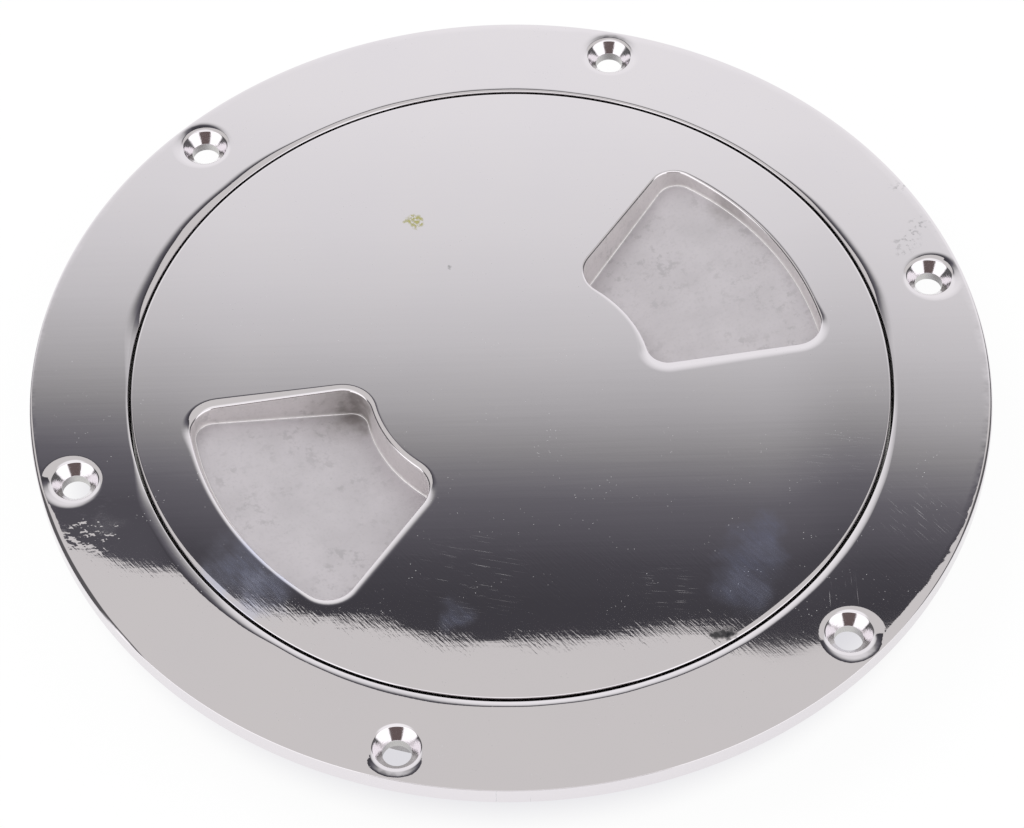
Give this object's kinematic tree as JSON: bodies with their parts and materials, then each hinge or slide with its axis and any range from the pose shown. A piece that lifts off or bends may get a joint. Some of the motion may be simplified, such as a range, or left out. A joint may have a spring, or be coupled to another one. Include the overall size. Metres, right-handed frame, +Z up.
{
  "type": "deck inspection plate",
  "caption": "Flush round screw-out inspection plate for a deck: polished cast flange ring with countersunk screw holes, a lid with finger recesses, and a rubber seal.",
  "frame": {"origin": "centre of the screw circle in the plane of the flange's underside, which is the deck's surface", "axes": "+Z up out of the deck along the lid's screw axis, +X through the first screw hole"},
  "size_m": [0.2032, 0.2032, 0.021],
  "materials": {
    "polished_steel": "cast stainless steel, mirror polished on top, blasted inside the finger recesses",
    "seal_rubber": "matte black rubber"
  },
  "bodies": {
    "deck_ring": {"frame_ring": "polished_steel"},
    "seal": {"o_ring": "seal_rubber"},
    "lid": {"lid": "polished_steel"}
  },
  "joints": [
    {"name": "lid_lift", "type": "slide", "parent": "deck_ring", "child": "seal", "axis": [0, 0, 1], "range_m": [0, 0.01]},
    {"name": "lid_turn", "type": "hinge", "parent": "seal", "child": "lid", "pos_m": [0, 0, 0], "axis": [0, 0, 1], "range_deg": [0, 900]}
  ],
  "couplings": [
    {"joint": "lid_lift", "follows": "lid_turn", "m_per_rad": 0.0006366}
  ]
}
